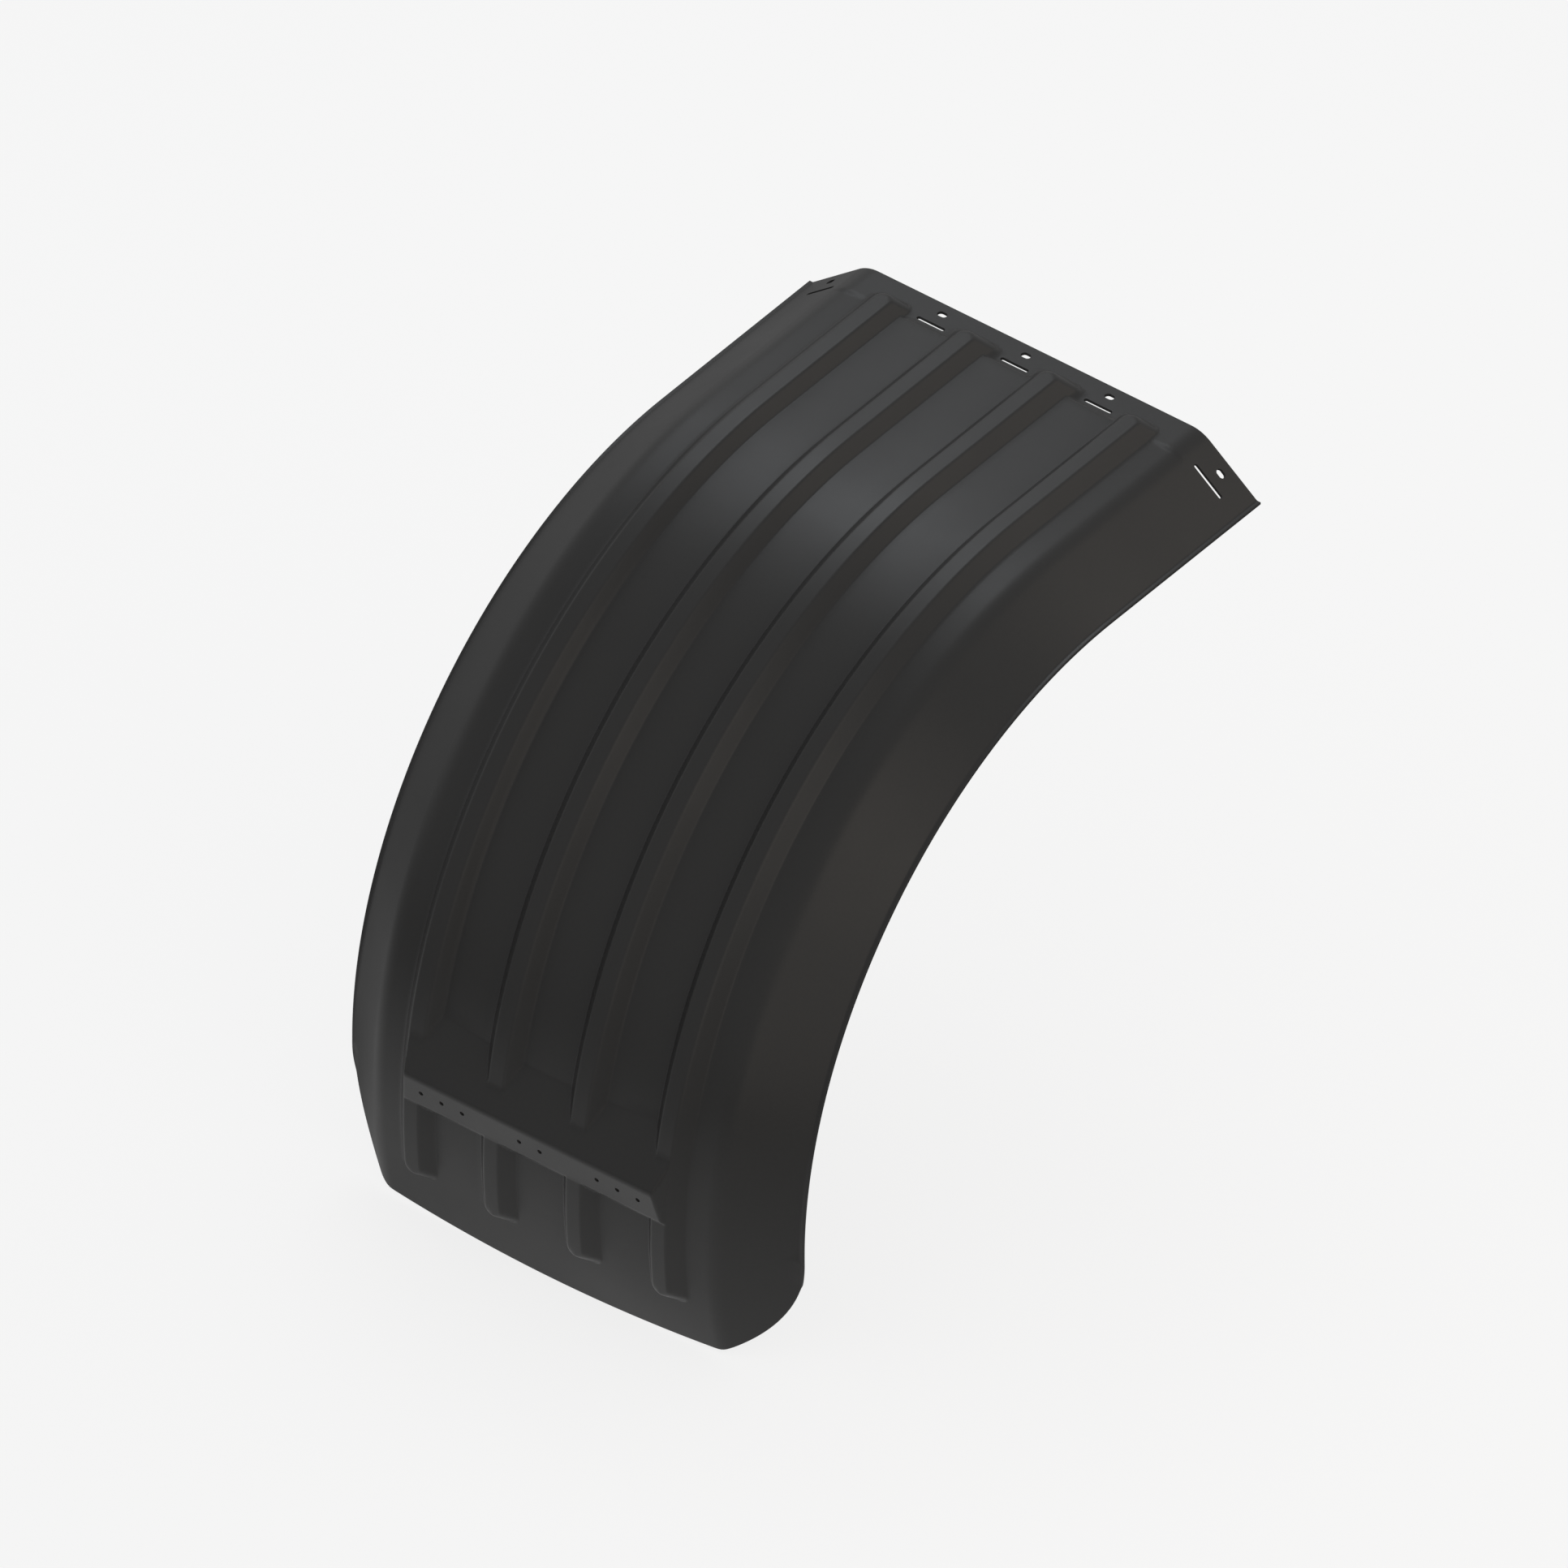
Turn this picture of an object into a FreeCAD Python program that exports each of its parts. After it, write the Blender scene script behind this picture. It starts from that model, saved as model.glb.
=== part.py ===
import FreeCAD, Part
import math
import os

from FreeCAD import Rotation, Vector

# Rear quarter mudguard for a truck's twin wheel: one plastic moulding.
#
# All sizes are in millimetres.  The origin is the wheel's axis on the guard's mid-plane: Y runs along
# that axis, Z is up, and +X points away from the flat top run, towards the guard's bottom edge.
# "Angle" is measured about the wheel's axis from straight up (0) towards +X, in degrees.
# A "form" is a solid bounded by one skin of the moulding: the cavity form has the outer skin and the
# core form has the inner skin, one wall thickness inside it.  The guard is the cavity less the core.

# Overall sizes
WIDTH = 660.0                 # across both rims
CROWN_RADIUS = 646.5          # wheel axis to the crown's outer skin, on the mid-plane
SIDE_DEPTH = 70.1             # crown's outer skin down to the top of the rim
STRAIGHT_LENGTH = 277.6       # flat run ahead of the arc
BOTTOM_DROP = 162.0           # wheel axis down to the bottom edge, on the mid-plane
WALL = 4.0                    # thickness of the moulding

# Cross-section
CROWN_SWEEP_RADIUS = 3100.0   # slight crown across the width
SIDE_ANGLE = 38.2             # side wall, below level
SHOULDER_RADIUS = 45.0        # round between crown and side wall
RIM_REACH = 5.0               # level lip outboard of the side wall

# Mounting flange at the free end of the flat run
FLANGE_LENGTH = 46.6          # flat length before the joggle
FLANGE_SINK = 6.7             # flange face below the crown's apex
JOGGLE_LENGTH = 6.0           # ramp from the flange up to the crowned panel

# Long hollow ribs
RIB_COUNT = 4
RIB_PITCH = 120.6
RIB_CREST = 22.0              # flat width of the crest, before its edges are rounded
RIB_HEIGHT = 16.0
RIB_SLOPE = 48.0              # rib walls, above the panel
RIB_TOP_INSET = 29.0          # free end of the flat run to the rib's foot
RIB_BOTTOM_ANGLE = 98.3       # rib's foot at the lower end
RIB_CORNER_RADIUS = 12.0      # corners of the rib's outline
RIB_CREST_RADIUS = 6.0        # rounded edge of the crest

# Pad that carries a rubber flap: a ramp up to an edge, the fixing face down to a lip, and an underside
PAD_START_ANGLE = 77.6
PAD_EDGE_ANGLE = 83.3
PAD_LIP_ANGLE = 87.0
PAD_RISE = 13.0               # edge above the ribs' height
PAD_LIP_SINK = 0.5            # lip below the ribs' height
PAD_UNDERSIDE_SLOPE = 48.0    # underside, above the panel
PAD_LENGTH = 362.0            # along the pad's edge
PAD_SIDE_SLOPE = 62.0         # pad's end faces, above the panel
PAD_EDGE_RADIUS = 12.0
PAD_CORNER_RADIUS = 5.0

# Lower corners and the bowed bottom edge
CORNER_RADIUS = 160.0
BOTTOM_BOW_RADIUS = 3400.0
CORNER_BLEND_RADIUS = 24.0

# Fixing holes: bolt slots across the flange and side walls, and strap slots beside them
BOLT_SLOT_WIDTH = 8.5         # clears an M8 bolt
BOLT_SLOT_LENGTH = 12.5
BOLT_SLOT_PITCH = 122.4
BOLT_SLOT_COUNT = 3
BOLT_SLOT_INSET = 17.1        # free end of the flange to the slots' centre line
STRAP_SLOT_WIDTH = 5.0
STRAP_SLOT_LENGTH = 40.0
STRAP_SLOT_INSET = 38.6
SIDE_BOLT_SLOT_Y = 285.6
SIDE_STRAP_SLOT_Y = 283.9
SIDE_STRAP_SLOT_LENGTH = 49.0
SIDE_SLOT_INSET = 17.6
SIDE_STRAP_SLOT_INSET = 39.1

# Flap holes in the pad's fixing face, in one row: a pair at the middle and three near each end
FLAP_HOLE_DIAMETER = 6.0
FLAP_HOLE_SPACING = 30.0
FLAP_TRIPLE_CENTRE = 128.5
FLAP_HOLE_HEIGHT = 57.1       # above the wheel axis

# Allowances that only keep cutting tools clear of the faces they don't cut
OVERSHOOT = 20.0

SIDE = math.radians(SIDE_ANGLE)
PAD_HEIGHT = RIB_HEIGHT + PAD_RISE
PAD_LIP_HEIGHT = RIB_HEIGHT - PAD_LIP_SINK
RIM_TOP = CROWN_RADIUS - SIDE_DEPTH
RIM_BOTTOM = RIM_TOP - WALL
SIDE_FOOT_Y = WIDTH / 2 - RIM_REACH
FLANGE_TOP = CROWN_RADIUS - FLANGE_SINK
CROWN_CENTRE_Z = CROWN_RADIUS - CROWN_SWEEP_RADIUS
FREE_END_X = -STRAIGHT_LENGTH
PANEL_START_X = FREE_END_X + FLANGE_LENGTH + JOGGLE_LENGTH
SWEEP_ANGLE = math.degrees(math.acos(-(BOTTOM_DROP + 2 * WALL) / RIM_BOTTOM))
Y_AXIS = Vector(0, 1, 0)
ORIGIN = Vector(0, 0, 0)


def polar(radius, angle, y=0.0):
    """Point at a radius and an angle about the wheel's axis."""
    turn = math.radians(angle)
    return Vector(radius * math.sin(turn), y, radius * math.cos(turn))


def crown_height(y):
    """Height of the crown's outer skin above the wheel's axis, along the flat run."""
    return CROWN_CENTRE_Z + math.sqrt(CROWN_SWEEP_RADIUS ** 2 - y ** 2)


def side_height(y, inset):
    """Height of the side wall's skin at a distance from the mid-plane."""
    return RIM_TOP + math.tan(SIDE) * (SIDE_FOOT_Y - y) - inset / math.cos(SIDE)


def shoulder(crowned):
    """Centre (y, z) of the shoulder's round, and the angle from upright where it meets the crown."""
    if not crowned:
        z = FLANGE_TOP - SHOULDER_RADIUS
        y = SIDE_FOOT_Y - (z - side_height(SIDE_FOOT_Y, SHOULDER_RADIUS)) / math.tan(SIDE)
        return y, z, 0.0
    rise = side_height(0.0, SHOULDER_RADIUS) - CROWN_CENTRE_Z
    reach = CROWN_SWEEP_RADIUS - SHOULDER_RADIUS
    slope = math.tan(SIDE)
    root = math.sqrt(slope ** 2 * rise ** 2 - (1 + slope ** 2) * (rise ** 2 - reach ** 2))
    y = (slope * rise - root) / (1 + slope ** 2)
    z = side_height(y, SHOULDER_RADIUS)
    return y, z, math.atan2(y, z - CROWN_CENTRE_Z)


def section(x, crowned, inset, base):
    """Closed cross-section at x, one skin inset from the outer skin, filled down to a base height."""
    y_round, z_round, start = shoulder(crowned)
    radius = SHOULDER_RADIUS - inset

    def on_round(angle, side):
        return Vector(x, side * (y_round + radius * math.sin(angle)), z_round + radius * math.cos(angle))

    def edges(side):
        foot_z = RIM_TOP if inset == 0 else base
        foot_y = SIDE_FOOT_Y - (foot_z - side_height(SIDE_FOOT_Y, inset)) / math.tan(SIDE)
        foot = Vector(x, side * foot_y, foot_z)
        half = [Part.Arc(on_round(start, side), on_round((start + SIDE) / 2, side), on_round(SIDE, side)),
                Part.LineSegment(on_round(SIDE, side), foot)]
        if inset == 0:
            rim = Vector(x, side * WIDTH / 2, RIM_TOP)
            half.append(Part.LineSegment(foot, rim))
            half.append(Part.LineSegment(rim, Vector(x, side * WIDTH / 2, base)))
        return half

    left, right = edges(-1), edges(1)
    ends = on_round(start, -1), on_round(start, 1)
    if crowned:
        top = Part.Arc(ends[0], Vector(x, 0, CROWN_RADIUS - inset), ends[1])
    else:
        top = Part.LineSegment(*ends)
    bottom = Part.LineSegment(right[-1].EndPoint, left[-1].EndPoint)
    order = [top] + right + [bottom] + left[::-1]
    return Part.Wire(Part.__sortEdges__([curve.toShape() for curve in order]))


def along_guard(face, start_x, end_angle):
    """Sweep a face that stands at start_x along the flat run and then round the arc."""
    straight = face.extrude(Vector(-start_x, 0, 0))
    at_arc = face.translated(Vector(-start_x, 0, 0))
    return straight.fuse(at_arc.revolve(ORIGIN, Y_AXIS, end_angle))


def body_form(inset):
    """The guard's body without ribs and pad: flange, joggle, crowned panel, side walls and rims."""
    base = RIM_BOTTOM if inset == 0 else RIM_BOTTOM - OVERSHOOT
    start_x = FREE_END_X if inset == 0 else FREE_END_X - OVERSHOOT
    joggle_x = FREE_END_X + FLANGE_LENGTH
    flange = Part.Face(section(start_x, False, inset, base)).extrude(Vector(joggle_x - start_x, 0, 0))
    joggle = Part.makeLoft([section(joggle_x, False, inset, base),
                            section(PANEL_START_X, True, inset, base)], True, True)
    panel = along_guard(Part.Face(section(PANEL_START_X, True, inset, base)), PANEL_START_X, SWEEP_ANGLE)
    return flange.multiFuse([joggle, panel])


def polygon_face(points):
    """Flat face through a closed run of corners."""
    return Part.Face(Part.makePolygon(points + points[:1]))


def rib_form(centre_y, inset):
    """One rib, closed at both ends by sloping walls, with rounded corners and crest."""
    slope = math.radians(RIB_SLOPE)
    foot_level = crown_height(centre_y)
    crest_level = foot_level + RIB_HEIGHT - inset
    run = 1 / math.tan(slope)
    shift = inset / math.sin(slope)
    buried = foot_level - 2 * WALL

    def half_width(level):
        return RIB_CREST / 2 + (foot_level + RIB_HEIGHT - level) * run - shift

    start_x = FREE_END_X
    corners = [Vector(start_x, centre_y - half_width(buried), buried),
               Vector(start_x, centre_y - half_width(crest_level), crest_level),
               Vector(start_x, centre_y + half_width(crest_level), crest_level),
               Vector(start_x, centre_y + half_width(buried), buried)]
    bar = along_guard(polygon_face(corners), start_x, RIB_BOTTOM_ANGLE)

    # Side view of the space between the two sloping end walls
    def top_end(level):
        return Vector(FREE_END_X + RIB_TOP_INSET + shift + (level - foot_level) * run, 0, level)

    foot = polar(foot_level, RIB_BOTTOM_ANGLE)
    outward = polar(1.0, RIB_BOTTOM_ANGLE)
    upward = polar(1.0, RIB_BOTTOM_ANGLE - 90.0)

    def bottom_end(level):
        height = level - foot_level
        return foot + outward * height + upward * (shift + height * run)

    low, high = buried - OVERSHOOT, crest_level + OVERSHOOT
    outer = 2 * high
    side_view = [top_end(low), top_end(high), Vector(top_end(high).x, 0, outer), Vector(outer, 0, outer),
                 Vector(outer, 0, bottom_end(high).z), bottom_end(high), bottom_end(low)]
    width = Vector(0, 2 * WIDTH, 0)
    between = polygon_face(side_view).translated(-width / 2).extrude(width)
    rib = bar.common(between).removeSplitter()

    corner = RIB_CORNER_RADIUS - inset
    rib = rib.makeFillet(corner, [edge for edge in rib.Edges if is_end_corner(edge, buried, crest_level)])
    crest = [edge for edge in rib.Edges if all(abs(level(point) - crest_level) < 0.05
                                               for point in edge.discretize(5))]
    return rib.makeFillet(RIB_CREST_RADIUS - inset, crest)


def level(point):
    """Distance of a point from the flat run's base plane, or from the wheel's axis on the arc."""
    return point.z if point.x <= 0 else math.hypot(point.x, point.z)


def is_end_corner(edge, low, high):
    """True for the sloping edges that run from a rib's buried foot up to its crest."""
    levels = sorted(level(vertex.Point) for vertex in edge.Vertexes)
    return len(levels) == 2 and abs(levels[0] - low) < 1.0 and abs(levels[1] - high) < 1.0


def inset_corner(before, corner, after, inset):
    """A corner of a side view, moved in by the same distance from both of its sides."""
    first = Y_AXIS.cross(before - corner).normalize()
    second = Y_AXIS.cross(corner - after).normalize()
    return corner - (first + second) * (inset / (1 + first.dot(second)))


def pad_form(inset):
    """The raised pad: a ramp, the edge, the fixing face that the flap is bolted to, and the underside."""
    start = polar(CROWN_RADIUS, PAD_START_ANGLE)
    edge = polar(CROWN_RADIUS + PAD_HEIGHT, PAD_EDGE_ANGLE)
    lip = polar(CROWN_RADIUS + PAD_LIP_HEIGHT, PAD_LIP_ANGLE)
    run = math.radians(PAD_UNDERSIDE_SLOPE)
    under = (polar(1.0, PAD_LIP_ANGLE) * -math.sin(run) - polar(1.0, PAD_LIP_ANGLE - 90.0) * math.cos(run))
    reach = PAD_HEIGHT + OVERSHOOT
    foot = lip + under * reach
    inner_edge = inset_corner(start, edge, lip, inset)
    inner_lip = inset_corner(edge, lip, foot, inset)
    ramp = start - edge
    side_view = [inner_edge, inner_edge + ramp * (1 + reach / ramp.Length), inner_lip + under * reach,
                 inner_lip]
    width = Vector(0, WIDTH, 0)
    wedge = polygon_face(side_view).translated(-width / 2).extrude(width)

    # The end faces lean outwards from the pad's edge down to the panel
    lean = math.radians(PAD_SIDE_SLOPE)
    outward = polar(1.0, PAD_EDGE_ANGLE)
    upward = polar(1.0, PAD_EDGE_ANGLE - 90.0)

    def end_point(height, side):
        half = PAD_LENGTH / 2 - inset / math.sin(lean) - height / math.tan(lean)
        return edge + outward * height + Vector(0, side * half, 0)

    depth = PAD_HEIGHT + 2 * OVERSHOOT
    front_view = [end_point(OVERSHOOT, -1), end_point(OVERSHOOT, 1),
                  end_point(-depth, 1), end_point(-depth, -1)]
    length = upward * CROWN_RADIUS
    between = polygon_face(front_view).translated(-length / 2).extrude(length)
    pad = wedge.common(between).removeSplitter()
    pad = pad.makeFillet(PAD_EDGE_RADIUS - inset, [rim for rim in pad.Edges if runs_along(rim, inner_edge)])
    corners = [rim for rim in pad.Edges if is_pad_corner(rim, inner_lip, start)]
    return pad.makeFillet(PAD_CORNER_RADIUS - inset, corners)


def runs_along(rim, place):
    """True for the edge that lies along the width at a place in the side view."""
    return all(math.hypot(vertex.X - place.x, vertex.Z - place.z) < 0.1 for vertex in rim.Vertexes)


def is_pad_corner(rim, lip, start):
    """True for the edges round the pad's end faces, from the ramp's start over the edge to the lip."""
    low, high = lip.z - 0.1, start.z + OVERSHOOT
    places = rim.discretize(5)
    on_end = max(place.y for place in places) < 0 or min(place.y for place in places) > 0
    above = all(math.hypot(place.x, place.z) > CROWN_RADIUS - OVERSHOOT for place in places[1:4])
    return on_end and above and all(low <= place.z <= high for place in places[:4])


def whole_form(inset):
    """One skin of the finished moulding, as a solid."""
    first = -(RIB_COUNT - 1) * RIB_PITCH / 2
    form = body_form(inset).fuse(pad_form(inset))
    for index in range(RIB_COUNT):
        form = form.fuse(rib_form(first + index * RIB_PITCH, inset))
    return form


def below_outline():
    """What is trimmed off the bottom: everything below the rounded corners and the bowed edge."""
    side_y = WIDTH / 2
    corner_y = side_y - CORNER_RADIUS
    bow_z = -BOTTOM_DROP + BOTTOM_BOW_RADIUS
    corner_z = corner_centre_height()

    # The blend is tangent to the corner and to the bow, both from inside
    blend_y, blend_z = meeting_point(corner_y, corner_z, CORNER_RADIUS - CORNER_BLEND_RADIUS,
                                     bow_z, BOTTOM_BOW_RADIUS - CORNER_BLEND_RADIUS)

    def from_centre(y, z, radius, towards_y, towards_z):
        reach = math.hypot(towards_y - y, towards_z - z)
        return y + radius * (towards_y - y) / reach, z + radius * (towards_z - z) / reach

    corner_end = from_centre(corner_y, corner_z, CORNER_RADIUS, blend_y, blend_z)
    bow_end = from_centre(0.0, bow_z, BOTTOM_BOW_RADIUS, blend_y, blend_z)
    start_turn = math.atan2(corner_end[1] - blend_z, corner_end[0] - blend_y)
    end_turn = math.atan2(bow_end[1] - blend_z, bow_end[0] - blend_y)
    corner_turn = math.atan2(corner_end[1] - corner_z, corner_end[0] - corner_y) / 2
    blend_turn = (start_turn + end_turn) / 2

    def at(y, z, side):
        return Vector(0, side * y, z)

    def half(side):
        arc = Part.Arc(at(side_y, corner_z, side),
                       at(corner_y + CORNER_RADIUS * math.cos(corner_turn),
                          corner_z + CORNER_RADIUS * math.sin(corner_turn), side),
                       at(*corner_end, side))
        blend = Part.Arc(at(*corner_end, side),
                         at(blend_y + CORNER_BLEND_RADIUS * math.cos(blend_turn),
                            blend_z + CORNER_BLEND_RADIUS * math.sin(blend_turn), side),
                         at(*bow_end, side))
        out = Part.LineSegment(at(side_y, corner_z, side), at(side_y + OVERSHOOT, corner_z, side))
        down = Part.LineSegment(at(side_y + OVERSHOOT, corner_z, side),
                                at(side_y + OVERSHOOT, -2 * CROWN_RADIUS, side))
        return [arc, blend, out, down]

    bow = Part.Arc(at(*bow_end, -1), Vector(0, 0, -BOTTOM_DROP), at(*bow_end, 1))
    floor = Part.LineSegment(at(side_y + OVERSHOOT, -2 * CROWN_RADIUS, -1),
                             at(side_y + OVERSHOOT, -2 * CROWN_RADIUS, 1))
    curves = [bow, floor] + half(-1) + half(1)
    outline = Part.Wire(Part.__sortEdges__([curve.toShape() for curve in curves]))
    return Part.Face(outline).extrude(Vector(2 * CROWN_RADIUS, 0, 0))


def corner_centre_height():
    """Height of the lower corners' centre: each corner's arc crosses the bow at the crown's edge."""
    meet_y = WIDTH / 2 - RIM_REACH - (CROWN_RADIUS - FLANGE_SINK - RIM_TOP) / math.tan(SIDE)
    bow_z = -BOTTOM_DROP + BOTTOM_BOW_RADIUS - math.sqrt(BOTTOM_BOW_RADIUS ** 2 - meet_y ** 2)
    return bow_z + math.sqrt(CORNER_RADIUS ** 2 - (meet_y - WIDTH / 2 + CORNER_RADIUS) ** 2)


def meeting_point(corner_y, corner_z, corner_reach, bow_z, bow_reach):
    """Lower outboard point at given distances from the corner's centre and from the bow's centre."""
    gap = math.hypot(corner_y, bow_z - corner_z)
    along = (corner_reach ** 2 - bow_reach ** 2 + gap ** 2) / (2 * gap)
    across = math.sqrt(corner_reach ** 2 - along ** 2)
    unit_y, unit_z = -corner_y / gap, (bow_z - corner_z) / gap
    return corner_y + along * unit_y + across * unit_z, corner_z + along * unit_z - across * unit_y


def slot_tool(length, width, depth):
    """Round-ended slot cutter: length along Y, depth along Z, centred on the origin."""
    end = Vector(0, (length - width) / 2, 0)
    sink = Vector(0, 0, -depth / 2)
    block = Part.makeBox(width, length - width, depth, sink - end - Vector(width / 2, 0, 0))
    return block.multiFuse([Part.makeCylinder(width / 2, depth, sink + end),
                            Part.makeCylinder(width / 2, depth, sink - end)]).removeSplitter()


def row(count, pitch):
    """Evenly spaced places, centred on the mid-plane."""
    return [(index - (count - 1) / 2) * pitch for index in range(count)]


def fixing_cuts():
    """Cutters for every bolt slot, strap slot and flap hole."""
    depth = OVERSHOOT
    cuts = []
    for y in row(BOLT_SLOT_COUNT, BOLT_SLOT_PITCH):
        bolt = slot_tool(BOLT_SLOT_LENGTH, BOLT_SLOT_WIDTH, depth)
        cuts.append(bolt.translated(Vector(FREE_END_X + BOLT_SLOT_INSET, y, FLANGE_TOP)))
        strap = slot_tool(STRAP_SLOT_LENGTH, STRAP_SLOT_WIDTH, depth)
        cuts.append(strap.translated(Vector(FREE_END_X + STRAP_SLOT_INSET, y, FLANGE_TOP)))
    side_slots = [(SIDE_SLOT_INSET, SIDE_BOLT_SLOT_Y, BOLT_SLOT_LENGTH, BOLT_SLOT_WIDTH),
                  (SIDE_STRAP_SLOT_INSET, SIDE_STRAP_SLOT_Y, SIDE_STRAP_SLOT_LENGTH, STRAP_SLOT_WIDTH)]
    for side in (-1, 1):
        for inset, y, length, width in side_slots:
            tool = slot_tool(length, width, depth)
            tool.rotate(ORIGIN, Vector(1, 0, 0), -side * SIDE_ANGLE)
            cuts.append(tool.translated(Vector(FREE_END_X + inset, side * y, side_height(y, WALL / 2))))
    for y in flap_hole_places():
        drill = Part.makeCylinder(FLAP_HOLE_DIAMETER / 2, 3 * OVERSHOOT,
                                  Vector(CROWN_RADIUS - OVERSHOOT / 2, y, FLAP_HOLE_HEIGHT), Vector(1, 0, 0))
        cuts.append(drill)
    return cuts


def flap_hole_places():
    """Distances of the flap holes from the mid-plane."""
    triple = row(3, FLAP_HOLE_SPACING)
    return ([y - FLAP_TRIPLE_CENTRE for y in triple] + row(2, FLAP_HOLE_SPACING)
            + [y + FLAP_TRIPLE_CENTRE for y in triple])


def mudguard_shell():
    """The whole moulding."""
    skin = whole_form(0.0).cut(whole_form(WALL))
    skin = skin.cut(below_outline())
    skin = skin.cut(Part.makeCompound(fixing_cuts()))
    return skin.removeSplitter()


def save(name, shape):
    """Write one sub-part, and stop if it isn't one sound solid."""
    solids = shape.Solids
    if len(solids) != 1 or not solids[0].isValid():
        raise RuntimeError(f"{name}: {len(solids)} solids, valid {[solid.isValid() for solid in solids]}")
    solids[0].exportStep(os.path.join("parts", f"{name}.step"))
    box = solids[0].BoundBox
    print(f"{name}: volume {solids[0].Volume:.0f} mm3, {len(solids[0].Faces)} faces, "
          f"x {box.XMin:.1f}..{box.XMax:.1f}, y {box.YMin:.1f}..{box.YMax:.1f}, "
          f"z {box.ZMin:.1f}..{box.ZMax:.1f}")


os.makedirs("parts", exist_ok=True)
save("mudguard_shell", mudguard_shell())
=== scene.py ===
"""Truck mudguard: one black plastic moulding, formed from a flat blank and standing on a pale floor."""
import logging
import math
from dataclasses import dataclass, field, fields
from enum import Enum
from typing import Sequence, Union

import bpy
import numpy as np
from mathutils import Matrix, Vector
from mathutils.geometry import delaunay_2d_cdt


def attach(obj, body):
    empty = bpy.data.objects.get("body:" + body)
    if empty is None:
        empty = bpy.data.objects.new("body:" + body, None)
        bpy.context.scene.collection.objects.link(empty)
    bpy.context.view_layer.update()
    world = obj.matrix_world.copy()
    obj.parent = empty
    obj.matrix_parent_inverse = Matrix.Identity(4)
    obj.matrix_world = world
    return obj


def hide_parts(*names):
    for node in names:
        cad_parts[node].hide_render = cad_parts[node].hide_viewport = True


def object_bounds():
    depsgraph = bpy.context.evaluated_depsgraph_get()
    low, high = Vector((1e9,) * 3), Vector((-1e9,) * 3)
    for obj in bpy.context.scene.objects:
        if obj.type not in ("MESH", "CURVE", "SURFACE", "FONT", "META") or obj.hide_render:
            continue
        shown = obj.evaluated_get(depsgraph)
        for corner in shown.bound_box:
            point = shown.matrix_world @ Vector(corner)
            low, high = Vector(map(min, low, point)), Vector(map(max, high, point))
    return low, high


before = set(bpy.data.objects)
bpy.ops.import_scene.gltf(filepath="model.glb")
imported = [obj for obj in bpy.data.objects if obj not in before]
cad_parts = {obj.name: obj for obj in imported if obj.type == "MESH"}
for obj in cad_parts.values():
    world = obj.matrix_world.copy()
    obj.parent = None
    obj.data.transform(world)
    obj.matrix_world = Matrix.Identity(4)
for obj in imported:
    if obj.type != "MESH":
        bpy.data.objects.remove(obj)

LOG = logging.getLogger("mudguard")
CAD_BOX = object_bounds()
MM = 0.001
CHUNK = 64  # outline points that are compared with the whole grid at a time


class Side(Enum):
    """The two sides of the guard, as the sign of Y."""

    LEFT = -1
    RIGHT = 1


@dataclass(frozen=True)
class GuardSizes:
    """Sizes of the moulding in metres and radians. Each one is an input of the forming tree."""

    crown_radius: float = 646.5 * MM
    crown_sweep: float = 3100 * MM
    half_width: float = 330 * MM
    rim_top: float = 576.4 * MM
    rim_reach: float = 5 * MM
    rim_soft: float = 0.9 * MM
    side_angle: float = math.radians(38.2)
    shoulder_radius: float = 45 * MM
    flange_top: float = 639.8 * MM
    joggle_start: float = -231 * MM
    joggle_length: float = 6 * MM
    joggle_soft: float = 0.16
    rib_count: float = 4
    rib_pitch: float = 120.6 * MM
    rib_crest: float = 22 * MM
    rib_height: float = 16 * MM
    rib_slope: float = math.radians(48)
    rib_top_end: float = -248.6 * MM
    rib_bottom_angle: float = math.radians(98.3)
    rib_corner: float = 12 * MM
    rib_crest_soft: float = 2.6 * MM
    rib_root_soft: float = 1.5 * MM
    pad_half: float = 181 * MM
    pad_side_slope: float = math.radians(62)
    pad_edge_angle: float = math.radians(83.3)
    pad_edge_radius: float = 675.5 * MM
    pad_edge_soft: float = 4.2 * MM
    pad_lip_soft: float = 1.0 * MM
    pad_end_soft: float = 3.2 * MM
    pad_root_soft: float = 1.3 * MM


@dataclass(frozen=True)
class Line:
    """A straight line in the guard's side view: its distance from the wheel axis and its normal's angle."""

    distance: float
    angle: float

    @classmethod
    def through(cls, first: tuple, second: tuple) -> "Line":
        """Line through two places.

        Args:
            first: Radius and angle of a place on it.
            second: Radius and angle of another.

        Returns:
            The line.
        """
        ax, az = first[0] * math.sin(first[1]), first[0] * math.cos(first[1])
        bx, bz = second[0] * math.sin(second[1]), second[0] * math.cos(second[1])
        reach = math.hypot(bx - ax, bz - az)
        nx, nz = (az - bz) / reach, (bx - ax) / reach
        distance = ax * nx + az * nz
        return cls(abs(distance), math.atan2(nx, nz) if distance > 0 else math.atan2(-nx, -nz))


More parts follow.
